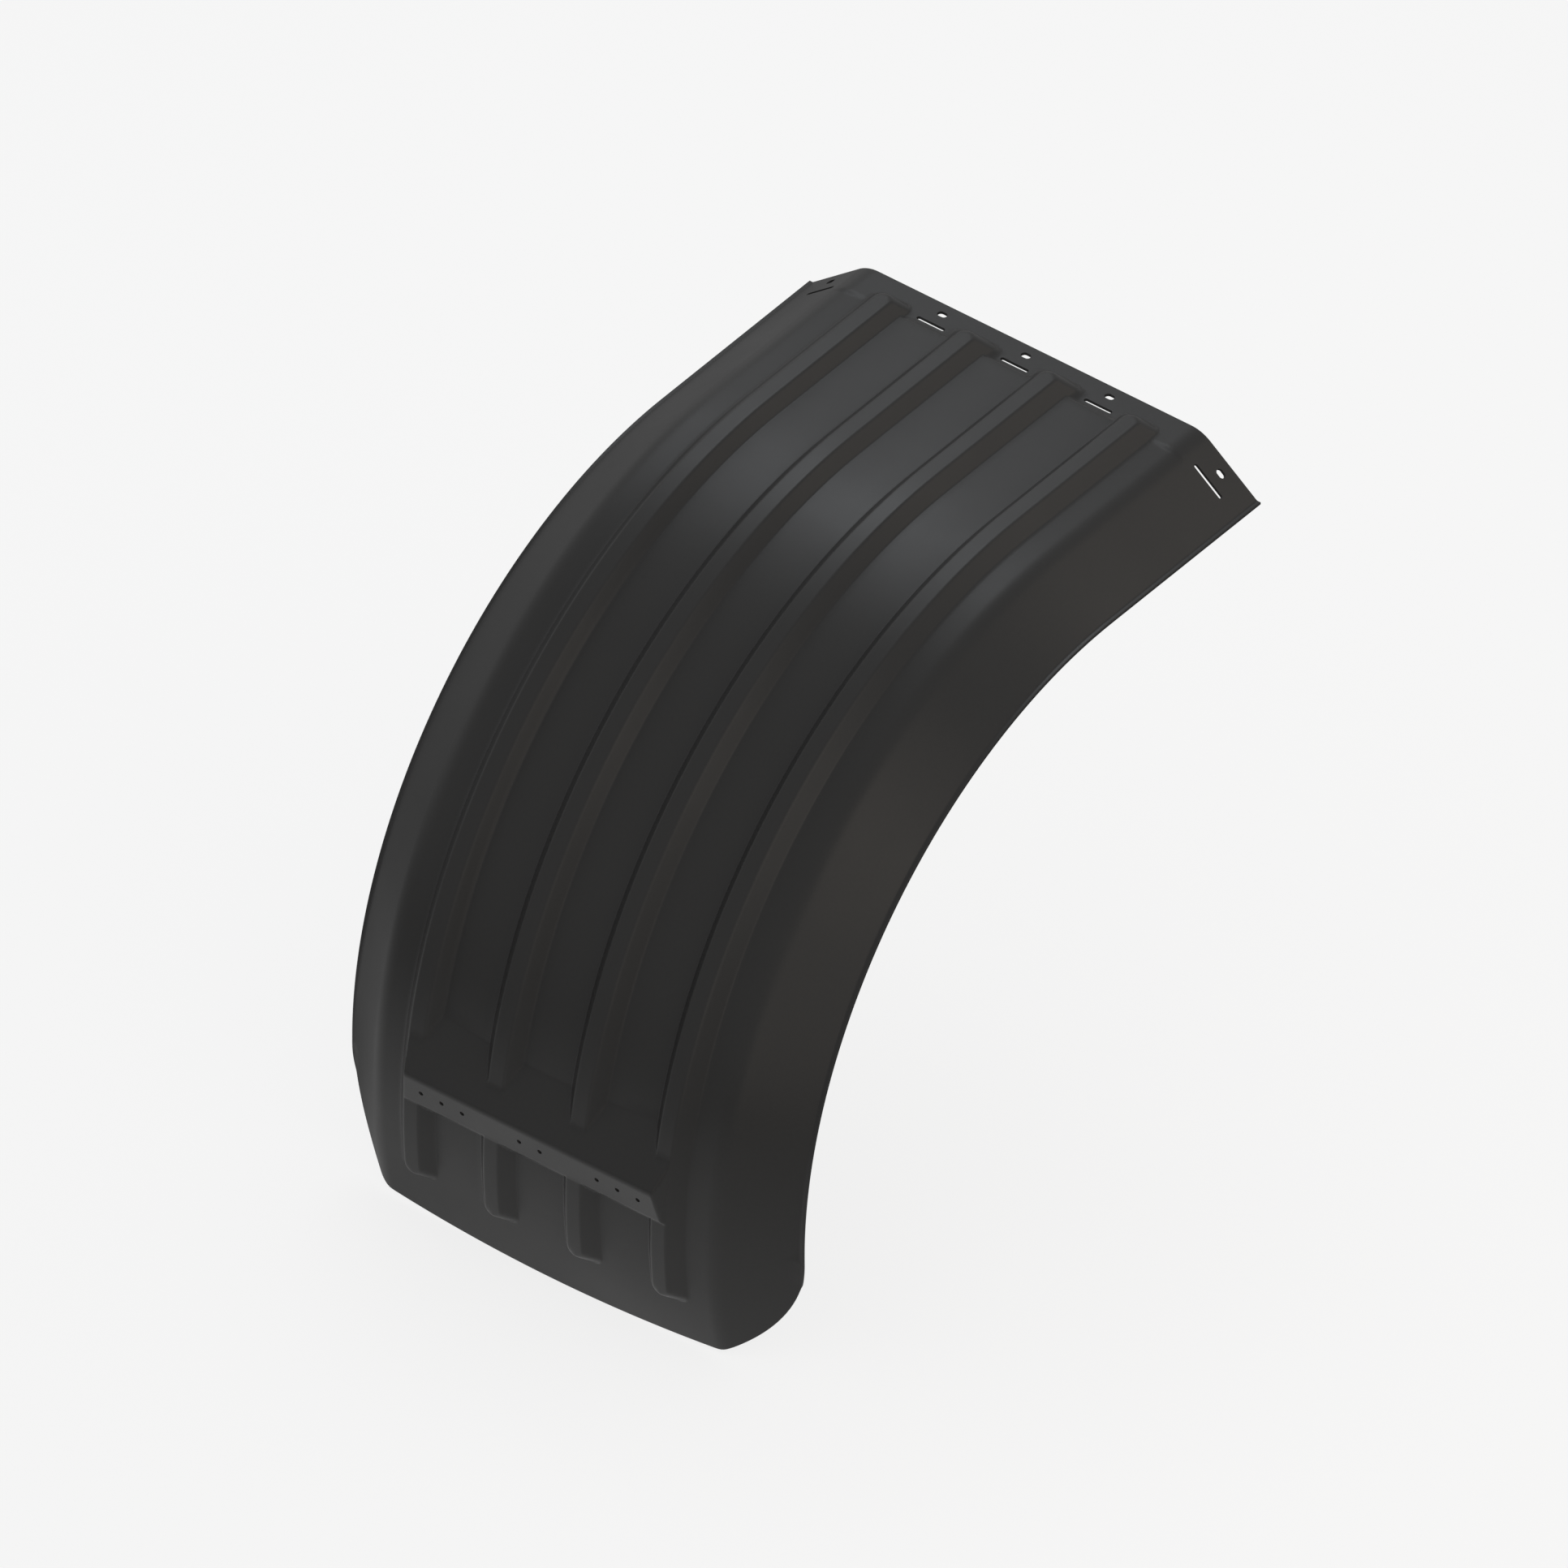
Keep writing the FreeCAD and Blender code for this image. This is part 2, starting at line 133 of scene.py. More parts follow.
@dataclass(frozen=True)
class Section:
    """Cross-section of the body: a top, a round shoulder, the sloping side and the level rim."""

    sizes: GuardSizes
    crowned: bool

    @property
    def round_place(self) -> tuple:
        """Find where the shoulder's round lies.

        Returns:
            Its centre across and up, and the angle at which the top meets it.
        """
        size = self.sizes
        slope = math.tan(size.side_angle)
        foot = size.half_width - size.rim_reach
        level = size.rim_top - size.shoulder_radius / math.cos(size.side_angle) + slope * foot
        if not self.crowned:
            up = size.flange_top - size.shoulder_radius
            return (level - up) / slope, up, 0.0
        rise = level - (size.crown_radius - size.crown_sweep)
        reach = size.crown_sweep - size.shoulder_radius
        root = math.sqrt(slope ** 2 * rise ** 2 - (1 + slope ** 2) * (rise ** 2 - reach ** 2))
        across = (slope * rise - root) / (1 + slope ** 2)
        up = level - slope * across
        return across, up, math.atan2(across, up - size.crown_radius + size.crown_sweep)

    def height(self, across: float) -> float:
        """Height of the outer skin.

        Args:
            across: Distance from the mid-plane.

        Returns:
            Height above the wheel's axis.
        """
        size = self.sizes
        place, up, start = self.round_place
        across = abs(across)
        if across < place + size.shoulder_radius * math.sin(start):
            if not self.crowned:
                return size.flange_top
            return size.crown_radius - size.crown_sweep + math.sqrt(size.crown_sweep ** 2 - across ** 2)
        if across < place + size.shoulder_radius * math.sin(size.side_angle):
            return up + math.sqrt(size.shoulder_radius ** 2 - (across - place) ** 2)
        foot = size.half_width - size.rim_reach
        return max(size.rim_top, size.rim_top + math.tan(size.side_angle) * (foot - across))


Number = Union["Term", float]


@dataclass(frozen=True)
class Term:
    """A number in a node tree, so that the moulding's rule reads as plain arithmetic."""

    tree: bpy.types.NodeTree
    socket: bpy.types.NodeSocket

    def step(self, operation: str, *others: Number) -> "Term":
        """Add one Math node that starts from this number.

        Args:
            operation: The node's operation.
            others: Its other inputs.

        Returns:
            The node's result.
        """
        node = self.tree.nodes.new("ShaderNodeMath")
        node.operation = operation
        for slot, value in zip(node.inputs, (self, *others)):
            if isinstance(value, Term):
                self.tree.links.new(value.socket, slot)
            else:
                slot.default_value = value
        return Term(self.tree, node.outputs[0])

    def __add__(self, other: Number) -> "Term":
        """Sum."""
        return self.step("ADD", other)

    def __sub__(self, other: Number) -> "Term":
        """Difference."""
        return self.step("SUBTRACT", other)

    def __mul__(self, other: Number) -> "Term":
        """Product."""
        return self.step("MULTIPLY", other)

    def __truediv__(self, other: Number) -> "Term":
        """Quotient."""
        return self.step("DIVIDE", other)

    def least(self, other: Number) -> "Term":
        """The smaller of two numbers."""
        return self.step("MINIMUM", other)

    def most(self, other: Number) -> "Term":
        """The larger of two numbers."""
        return self.step("MAXIMUM", other)

    def root(self) -> "Term":
        """Square root, with nothing below zero."""
        return self.most(0.0).step("SQRT")

    def size(self) -> "Term":
        """The number without its sign."""
        return self.step("ABSOLUTE")

    def sine(self) -> "Term":
        """Sine."""
        return self.step("SINE")

    def cosine(self) -> "Term":
        """Cosine."""
        return self.step("COSINE")

    def slope(self) -> "Term":
        """Tangent."""
        return self.step("TANGENT")

    def below(self, other: Number) -> "Term":
        """1 where this number is below the other, else 0."""
        return self.step("LESS_THAN", other)

    def choose(self, first: Number, second: "Term") -> "Term":
        """The first where this is 1, the second where it is 0."""
        return second + (second * -1.0 + first) * self

    def soft_least(self, other: "Term", soft: Number) -> "Term":
        """The smaller of two numbers, with a rounded change-over."""
        return self.least(other) - self.blend(other, soft)

    def soft_most(self, other: "Term", soft: Number) -> "Term":
        """The larger of two numbers, with a rounded change-over."""
        return self.most(other) + self.blend(other, soft)

    def blend(self, other: "Term", soft: Number) -> "Term":
        """How far a rounded change-over stands off the sharp one.

        Args:
            other: The other number.
            soft: How far apart the two are where the round starts.

        Returns:
            The stand-off, zero outside the round.
        """
        near = ((self - other).size() * -1.0 + soft).most(0.0)
        return near * near * 0.25 / soft


class Tree:
    """A Geometry Nodes tree with the moulding's sizes as its named inputs."""

    def __init__(self, name: str, sizes: GuardSizes, extra: Sequence[tuple], result: tuple) -> None:
        """Make the tree and its inputs.

        Args:
            name: The tree's name.
            sizes: The sizes that become inputs.
            extra: Name and socket type of each further input, which come first.
            result: Name and socket type of the output.
        """
        self.nodes_tree = bpy.data.node_groups.new(name, "GeometryNodeTree")
        face = self.nodes_tree.interface
        for label, kind in extra:
            face.new_socket(label, in_out="INPUT", socket_type=kind)
        for entry in fields(sizes):
            slot = face.new_socket(entry.name, in_out="INPUT", socket_type="NodeSocketFloat")
            slot.default_value = getattr(sizes, entry.name)
        face.new_socket(result[0], in_out="OUTPUT", socket_type=result[1])
        self.start = self.nodes_tree.nodes.new("NodeGroupInput")
        self.end = self.nodes_tree.nodes.new("NodeGroupOutput")

    def get(self, label: str) -> Term:
        """One of the inputs, as a term."""
        return Term(self.nodes_tree, self.start.outputs[label])

    def add(self, kind: str, **settings: object) -> bpy.types.Node:
        """Add a node.

        Args:
            kind: The node's type.
            settings: Values of its properties.

        Returns:
            The node.
        """
        node = self.nodes_tree.nodes.new(kind)
        for label, value in settings.items():
            setattr(node, label, value)
        return node

    def link(self, source: bpy.types.NodeSocket, target: bpy.types.NodeSocket) -> None:
        """Join two sockets."""
        self.nodes_tree.links.new(source, target)

    def vector(self, operation: str, *sources: bpy.types.NodeSocket) -> bpy.types.NodeSocket:
        """Add a Vector Math node.

        Args:
            operation: The node's operation.
            sources: Its inputs.

        Returns:
            Its result.
        """
        node = self.add("ShaderNodeVectorMath", operation=operation)
        for source, slot in zip(sources, node.inputs):
            self.link(source, slot)
        return node.outputs[0]


@dataclass
class SkinRule:
    """The rule of the outer skin: where a place of the flat blank comes to lie on the finished moulding.

    The blank is measured along the guard, zero where the arc starts, and across it from the mid-plane.
    The skin's normal is found from two places a probe's length to each side.
    """

    sizes: GuardSizes
    ramp: Line
    face: Line
    underside: Line
    probe: float = 0.5 * MM
    line_lean: float = math.radians(84)
    end_lean: float = 0.25

    def body(self, tree: Tree, across: Term, crowned: bool) -> Term:
        """Height of the body's section.

        Args:
            tree: The tree to work in.
            across: Distance from the mid-plane, without sign.
            crowned: Whether it is the crowned panel or the flat flange.

        Returns:
            Height above the wheel's axis.
        """
        place, up, start = Section(self.sizes, crowned).round_place
        radius = tree.get("shoulder_radius")
        foot = tree.get("half_width") - tree.get("rim_reach")
        side = tree.get("rim_top") + tree.get("side_angle").slope() * (foot - across)
        turn = (across - place) * (across - place)
        shoulder = (radius * radius - turn).root() + up
        top = self.crown(tree, across) if crowned else tree.get("flange_top")
        first = radius * math.sin(start) + place
        last = radius * tree.get("side_angle").sine() + place
        return across.below(first).choose(top, across.below(last).choose(shoulder, side))

    @staticmethod
    def crown(tree: Tree, across: Term) -> Term:
        """Height of the crown's arc above the wheel's axis."""
        sweep = tree.get("crown_sweep")
        return (sweep * sweep - across * across).root() + tree.get("crown_radius") - sweep

    def rib(self, tree: Tree, along: Term, across: Term) -> Term:
        """Height of the nearest rib's surface, carried on below the panel.

        Args:
            tree: The tree to work in.
            along: Place along the guard.
            across: Distance from the mid-plane.

        Returns:
            Height above the wheel's axis.
        """
        pitch, half_count = tree.get("rib_pitch"), tree.get("rib_count") * 0.5
        number = (across / pitch).step("FLOOR").least(half_count - 1.0).most(half_count * -1.0)
        centre = (number + 0.5) * pitch
        foot = self.crown(tree, centre)
        rise = tree.get("rib_slope").slope()
        corner = tree.get("rib_corner")
        from_side = tree.get("rib_crest") * 0.5 + tree.get("rib_height") / rise - (across - centre).size()
        top_gap = along - tree.get("rib_top_end")
        bottom_gap = tree.get("rib_bottom_angle") * tree.get("crown_radius") - along
        from_end = top_gap.least(bottom_gap)
        differ = (from_side - from_end).size()
        diagonal = ((corner * corner * 2.0 - differ * differ).root() + from_side + from_end) * 0.5 - corner
        inward = differ.below(corner).choose(diagonal, from_side.least(from_end))
        crest = foot + tree.get("rib_height")
        return (foot + inward * rise).soft_least(crest, tree.get("rib_crest_soft"))

    def radius_of(self, line: Line, turn: Term, rising: bool) -> Term:
        """Distance from the wheel's axis to a line of the pad's side view.

        Args:
            line: The line.
            turn: Angle about the axis.
            rising: Whether the line rises along the guard.

        Returns:
            The distance, which stays past the line's nearest place.
        """
        low, high = (0.0, self.line_lean) if rising else (-self.line_lean, 0.0)
        lean = (turn - line.angle).most(low).least(high)
        return lean.cosine().step("POWER", -1.0) * line.distance

    def pad(self, tree: Tree, turn: Term, across: Term) -> Term:
        """Height of the pad's surface, carried on below the panel.

        Args:
            tree: The tree to work in.
            turn: Angle about the wheel's axis.
            across: Distance from the mid-plane, without sign.

        Returns:
            Height above the wheel's axis.
        """
        wedge = self.radius_of(self.ramp, turn, True).soft_least(
            self.radius_of(self.face, turn, False), tree.get("pad_edge_soft"))
        wedge = wedge.soft_least(self.radius_of(self.underside, turn, False), tree.get("pad_lip_soft"))
        fall = (tree.get("pad_half") - across) * tree.get("pad_side_slope").slope()
        lean = (turn - tree.get("pad_edge_angle")).most(-self.end_lean).least(self.end_lean).cosine()
        end = (tree.get("pad_edge_radius") + fall) / lean
        return wedge.soft_least(end, tree.get("pad_end_soft"))

    def skin_group(self) -> bpy.types.NodeTree:
        """Make the group that places one point of the outer skin.

        Returns:
            The node group, with Along and Across in and Place out.
        """
        tree = Tree("outer_skin", self.sizes, [("Along", "NodeSocketFloat"), ("Across", "NodeSocketFloat")],
                    ("Place", "NodeSocketVector"))
        along, across = tree.get("Along"), tree.get("Across")
        apart = across.size()
        turn = along.most(0.0) / tree.get("crown_radius")
        soft = tree.get("joggle_soft")
        ramp = (along - tree.get("joggle_start")) / tree.get("joggle_length")
        zero = ramp * 0.0
        ramp = ramp.soft_most(zero, soft).soft_least(zero + 1.0, soft)
        flange = self.body(tree, apart, False)
        height = flange + (self.body(tree, apart, True) - flange) * ramp
        height = height.soft_most(tree.get("rim_top"), tree.get("rim_soft"))
        height = height.soft_most(self.rib(tree, along, across), tree.get("rib_root_soft"))
        height = height.soft_most(self.pad(tree, turn, apart), tree.get("pad_root_soft"))
        place = tree.add("ShaderNodeCombineXYZ")
        tree.link((along.least(0.0) + height * turn.sine()).socket, place.inputs[0])
        tree.link(across.socket, place.inputs[1])
        tree.link((height * turn.cosine()).socket, place.inputs[2])
        tree.link(place.outputs[0], tree.end.inputs[0])
        return tree.nodes_tree

    def placed(self, tree: Tree, skin: bpy.types.NodeTree, along: Term, across: Term) -> bpy.types.NodeSocket:
        """Find where a point of the blank comes to lie on the outer skin.

        Args:
            tree: The tree to work in.
            skin: The group that places one point.
            along: Place along the guard.
            across: Distance from the mid-plane.

        Returns:
            The place.
        """
        node = tree.add("GeometryNodeGroup", node_tree=skin)
        tree.link(along.socket, node.inputs["Along"])
        tree.link(across.socket, node.inputs["Across"])
        for entry in fields(self.sizes):
            tree.link(tree.start.outputs[entry.name], node.inputs[entry.name])
        return node.outputs[0]

    def forming_tree(self, material: bpy.types.Material) -> bpy.types.NodeTree:
        """Make the tree that forms the flat blank into the moulding.

        Args:
            material: The moulding's material.

        Returns:
            The tree.
        """
        skin = self.skin_group()
        tree = Tree("form_moulding", self.sizes, [("Blank", "NodeSocketGeometry")],
                    ("Moulding", "NodeSocketGeometry"))
        position = tree.add("GeometryNodeInputPosition")
        split = tree.add("ShaderNodeSeparateXYZ")
        tree.link(position.outputs[0], split.inputs[0])
        along, across = Term(tree.nodes_tree, split.outputs[0]), Term(tree.nodes_tree, split.outputs[1])

        step = self.probe
        down_guard = tree.vector("SUBTRACT", self.placed(tree, skin, along + step, across),
                                 self.placed(tree, skin, along - step, across))
        over_guard = tree.vector("SUBTRACT", self.placed(tree, skin, along, across + step),
                                 self.placed(tree, skin, along, across - step))
        outward = tree.vector("NORMALIZE", tree.vector("CROSS_PRODUCT", down_guard, over_guard))
        sink = tree.add("ShaderNodeVectorMath", operation="SCALE")
        tree.link(outward, sink.inputs[0])
        tree.link(split.outputs[2], sink.inputs["Scale"])
        place = tree.vector("ADD", self.placed(tree, skin, along, across), sink.outputs[0])
        move = tree.add("GeometryNodeSetPosition")
        tree.link(tree.start.outputs["Blank"], move.inputs["Geometry"])
        tree.link(place, move.inputs["Position"])
        smooth = tree.add("GeometryNodeSetShadeSmooth")
        tree.link(move.outputs[0], smooth.inputs["Geometry"])
        realize = tree.add("GeometryNodeRealizeInstances")
        tree.link(smooth.outputs[0], realize.inputs[0])
        paint = tree.add("GeometryNodeSetMaterial")
        paint.inputs["Material"].default_value = material
        tree.link(realize.outputs[0], paint.inputs["Geometry"])
        tree.link(paint.outputs[0], tree.end.inputs[0])
        return tree.nodes_tree


def apply_tree(piece: bpy.types.Object, tree: bpy.types.NodeTree, values: dict) -> bpy.types.Mesh:
    """Run a Geometry Nodes tree on an object and return the plain mesh.

    Args:
        piece: The object, which keeps its own mesh.
        tree: The tree.
        values: Input values by input name.

    Returns:
        The mesh that the tree makes.
    """
    modifier = piece.modifiers.new(tree.name, "NODES")
    modifier.node_group = tree
    for item in tree.interface.items_tree:
        if item.in_out == "INPUT" and item.name in values:
            modifier[item.identifier] = values[item.name]
    graph = bpy.context.evaluated_depsgraph_get()
    mesh = bpy.data.meshes.new_from_object(piece.evaluated_get(graph))
    piece.modifiers.remove(modifier)
    return mesh


@dataclass(frozen=True)
class PerforationRow:
    """A row of equal round-ended holes across the guard, as it lies in the flat blank.

    The blank is measured on the level across the guard and on the crown's arc along it. So a hole in a
    sloping side is narrower across in the blank, and one on the pad is shorter along, by the two shares.
    """

    count: int
    pitch: float
    length: float
    width: float
    along: float
    across: float = 0.0
    along_share: float = 1.0
    across_share: float = 1.0
    corners: int = 24

    @staticmethod
    def tree() -> bpy.types.NodeTree:
        """Make the tree that draws a row of outlines: a line of places with a slot's outline on each.

        Returns:
            The tree.
        """
        group = bpy.data.node_groups.new("perforation_row", "GeometryNodeTree")
        face, nodes, links = group.interface, group.nodes, group.links
        face.new_socket("Blank", in_out="INPUT", socket_type="NodeSocketGeometry")
        for label in ("Count", "Corners"):
            face.new_socket(label, in_out="INPUT", socket_type="NodeSocketInt")
        for label in ("Pitch", "Length", "Width"):
            face.new_socket(label, in_out="INPUT", socket_type="NodeSocketFloat")
        face.new_socket("Outlines", in_out="OUTPUT", socket_type="NodeSocketGeometry")
        start, end = nodes.new("NodeGroupInput"), nodes.new("NodeGroupOutput")
        step = nodes.new("ShaderNodeCombineXYZ")
        links.new(start.outputs["Pitch"], step.inputs[1])
        line = nodes.new("GeometryNodeMeshLine")
        links.new(start.outputs["Count"], line.inputs["Count"])
        links.new(step.outputs[0], line.inputs["Offset"])
        ring = nodes.new("GeometryNodeMeshCircle")
        links.new(start.outputs["Corners"], ring.inputs["Vertices"])
        half = Term(group, start.outputs["Width"]) * 0.5
        links.new(half.socket, ring.inputs["Radius"])
        place, split = nodes.new("GeometryNodeInputPosition"), nodes.new("ShaderNodeSeparateXYZ")
        links.new(place.outputs[0], split.inputs[0])
        stretch = (Term(group, start.outputs["Length"]) * 0.5 - half) * \
            Term(group, split.outputs[1]).step("SIGN")
        shift = nodes.new("ShaderNodeCombineXYZ")
        links.new(stretch.socket, shift.inputs[1])
        draw = nodes.new("GeometryNodeSetPosition")
        links.new(ring.outputs[0], draw.inputs["Geometry"])
        links.new(shift.outputs[0], draw.inputs["Offset"])
        repeat = nodes.new("GeometryNodeInstanceOnPoints")
        links.new(line.outputs[0], repeat.inputs["Points"])
        links.new(draw.outputs[0], repeat.inputs["Instance"])
        realize = nodes.new("GeometryNodeRealizeInstances")
        links.new(repeat.outputs[0], realize.inputs[0])
        paint = nodes.new("GeometryNodeSetMaterial")
        links.new(realize.outputs[0], paint.inputs["Geometry"])
        links.new(paint.outputs[0], end.inputs[0])
        return group

    def outlines(self, tree: bpy.types.NodeTree) -> list:
        """Draw the row.

        Args:
            tree: The tree that repeats the outline.

        Returns:
            One array of corners for each hole, clockwise, so that the plastic is on its left.
        """
        holder = bpy.data.objects.new("perforation", bpy.data.meshes.new("perforation"))
        bpy.context.collection.objects.link(holder)
        mesh = apply_tree(holder, tree, {"Count": self.count, "Corners": self.corners, "Pitch": self.pitch,
                                         "Length": self.length, "Width": self.width})
        bpy.data.objects.remove(holder)
        corners = np.array([vertex.co[:2] for vertex in mesh.vertices])
        bpy.data.meshes.remove(mesh)
        corners[:, 1] -= (self.count - 1) * self.pitch / 2
        corners = corners * (self.along_share, self.across_share) + (self.along, self.across)
        return [loop[::-1] for loop in np.split(corners, self.count)]


def inset(loop: np.ndarray, distance: float) -> np.ndarray:
    """Move a closed outline to its left by a distance.

    Args:
        loop: The outline's corners.
        distance: How far.

    Returns:
        The moved corners.
    """
    ahead = np.roll(loop, -1, 0) - loop
    ahead /= np.linalg.norm(ahead, axis=1)[:, None]
    left = np.stack([-ahead[:, 1], ahead[:, 0]], 1)
    before = np.roll(left, 1, 0)
    return loop + (left + before) * (distance / (1 + (left * before).sum(1)))[:, None]


def inside(points: np.ndarray, loop: np.ndarray) -> np.ndarray:
    """Which points lie inside a closed outline.

    Args:
        points: The points.
        loop: The outline's corners.

    Returns:
        One truth value for each point.
    """
    result = np.zeros(len(points), bool)
    for (ax, ay), (bx, by) in zip(loop, np.roll(loop, -1, 0)):
        if ay == by:
            continue
        crosses = (points[:, 1] < max(ay, by)) & (points[:, 1] >= min(ay, by))
        result ^= crosses & (points[:, 0] < ax + (points[:, 1] - ay) * (bx - ax) / (by - ay))
    return result


def ladder(*stops: tuple) -> list:
    """Places from stop to stop.

    Args:
        stops: A place and the number of steps to the next stop, for each stop.

    Returns:
        The places in order, without the last stop.
    """
    places: list = []
    for (place, count), (after, _) in zip(stops, stops[1:]):
        places += [place + (after - place) * step / count for step in range(count)]
    return places


@dataclass
class Blank:
    """The flat blank: a closed sheet with rounded edges, trimmed and perforated, before it is formed.

    Its points lie on lines along and across the guard, close together over each rounded line of the moulding.
    Each edge has a ring of points where its round starts and a second one a little further in.
    """

    sizes: GuardSizes
    wall: float = 4 * MM
    free_end: float = -277.6 * MM
    bottom_drop: float = 162 * MM
    bow_radius: float = 3400 * MM
    corner_radius: float = 160 * MM
    blend_radius: float = 24 * MM
    edge_round: float = 0.9 * MM
    hole_round: float = 0.35 * MM
    hold: float = 1.4 * MM
    hole_hold_share: float = 0.5
    clear: float = 0.9 * MM
    closest: float = 0.55 * MM
    merge: float = 1e-7
    round_steps: int = 4
    spacing: float = 5 * MM
    band: float = 2 * MM
    wide_band: float = 3 * MM
    step_band: float = 8 * MM
    rib_top_band: float = 5 * MM
    pad_side_run: float = 18 * MM
    flat_stop: float = -200 * MM
    pad_foot: float = 32 * MM
    apron: float = 90 * MM
    pad_stops: tuple = ((76.8, 8), (78.2, 6), (82.2, 15), (84.4, 7), (86.6, 18), (88.8, 4))
    rows: list = field(default_factory=list)

    def arc(self, centre: tuple, radius: float, start: float, end: float) -> list:
        """Places on an arc of the bottom edge, without its last.

        Args:
            centre: Its centre, across and up.
            radius: Its radius.
            start: Angle where it starts.
            end: Angle where it ends.

        Returns:
            Distance across and height of each place.
        """
        count = max(3, round(radius * abs(end - start) / self.spacing))
        turns = [start + (end - start) * step / count for step in range(count)]
        return [(centre[0] + radius * math.cos(turn), centre[1] + radius * math.sin(turn)) for turn in turns]

    def bottom_edge(self) -> list:
        """Draw the right half of the bottom edge, from its rim to the mid-plane.

        Returns:
            Distance across and height of each place.
        """
        size = self.sizes
        meet = (size.half_width - size.rim_reach
                - (size.flange_top - size.rim_top) / math.tan(size.side_angle))
        bow_z = self.bow_radius - self.bottom_drop
        corner_y = size.half_width - self.corner_radius
        corner_z = (bow_z - math.sqrt(self.bow_radius ** 2 - meet ** 2)
                    + math.sqrt(self.corner_radius ** 2 - (meet - corner_y) ** 2))
        first, second = self.corner_radius - self.blend_radius, self.bow_radius - self.blend_radius
        gap = math.hypot(corner_y, bow_z - corner_z)
        along = (first ** 2 - second ** 2 + gap ** 2) / (2 * gap)
        aside = math.sqrt(first ** 2 - along ** 2)
        unit_y, unit_z = -corner_y / gap, (bow_z - corner_z) / gap
        blend = corner_y + along * unit_y + aside * unit_z, corner_z + along * unit_z - aside * unit_y
        leave = math.atan2(blend[1] - corner_z, blend[0] - corner_y)
        land = math.atan2(blend[1] - bow_z, blend[0])

        return (self.arc((corner_y, corner_z), self.corner_radius, 0.0, leave)
                + self.arc(blend, self.blend_radius, leave, land)
                + self.arc((0.0, bow_z), self.bow_radius, land, -math.pi / 2) + [(0.0, -self.bottom_drop)])

    def outline(self) -> np.ndarray:
        """Draw the trimmed edge, counter-clockwise in the blank.

        Returns:
            The outline's corners.
        """
        size, section = self.sizes, Section(self.sizes, True)
        right = [(size.crown_radius * math.acos(z / section.height(y)), y) for y, z in self.bottom_edge()]
        left = [(along, -across) for along, across in right[:-1]]
        corner = right[0][0]
        margin = self.edge_round + self.hold + self.clear
        rim = [x for x in self.lines_along() if self.free_end + margin < x < corner - margin]
        end = [y for y in self.lines_across() if abs(y) < size.half_width - margin]
        end = [-size.half_width] + end + [size.half_width]
        places = ([(self.free_end, y) for y in end[::-1]] + [(x, -size.half_width) for x in rim]
                  + left + right[::-1] + [(x, size.half_width) for x in rim[::-1]])
        return np.array(places)

    def lines_across(self) -> np.ndarray:
        """Distances from the mid-plane at which the blank has a line of points.

        Returns:
            The distances in order, both sides.
        """
        size, band = self.sizes, self.band
        crest, soft = size.rib_crest / 2, size.rib_crest_soft
        foot = crest + size.rib_height / math.tan(size.rib_slope)
        half_rib = ladder((0, 2), (crest - soft, 6), (crest + soft, 3), (foot - band, 5),
                          (foot + band, 1)) + [foot + band]
        panel = size.rib_pitch / 2 - foot - band
        places = {0.0}
        for number in range(int(size.rib_count) // 2):
            low, centre = number * size.rib_pitch, (number + 0.5) * size.rib_pitch
            places.update(round(centre + sign * place, 6) for place in half_rib for sign in (-1, 1))
            places.update(round(place, 6) for place in ladder((low, 4), (low + panel, 1)))
            if number:
                places.update(round(2 * low - place, 6) for place in ladder((low, 4), (low + panel, 1)))
        start = Section(size, False).round_place[0]
        end = start + size.shoulder_radius * math.sin(size.side_angle)
        rim = size.half_width - size.rim_reach
        places.update(ladder((max(places), 4), (start - self.wide_band, 12), (end + self.wide_band, 6),
                             (rim - band, 6), (rim + band, 1)) + [rim + band])
        places.update(ladder((size.pad_half - self.wide_band, 12), (size.pad_half + self.pad_side_run, 1)))
        kept: list = []
        for place in sorted(places):
            if not kept or place - kept[-1] > self.closest:
                kept.append(place)
        return np.array([-place for place in kept[:0:-1]] + kept)

    def lines_along(self) -> np.ndarray:
        """Places along the guard at which the blank has a line of points.

        Returns:
            The places in order.
        """
        size, radius, band = self.sizes, self.sizes.crown_radius, self.wide_band
        run = size.rib_height / math.tan(size.rib_slope)
        top, low = size.rib_top_end, size.rib_bottom_angle * radius
        pad = [(math.radians(degrees) * radius, count) for degrees, count in self.pad_stops]
        return np.array(ladder(
            (self.free_end + band, 4), (top - self.step_band, 13), (top + self.rib_top_band, 4),
            (top + run - band, 7), (size.joggle_start + self.step_band, 3), (self.flat_stop, 12), (0, 54),
            *pad, (low - self.pad_foot, 4), (low - run - band, 6), (low - run + band, 4), (low - band, 7),
            (low + band, 10), (low + self.apron, 1)))

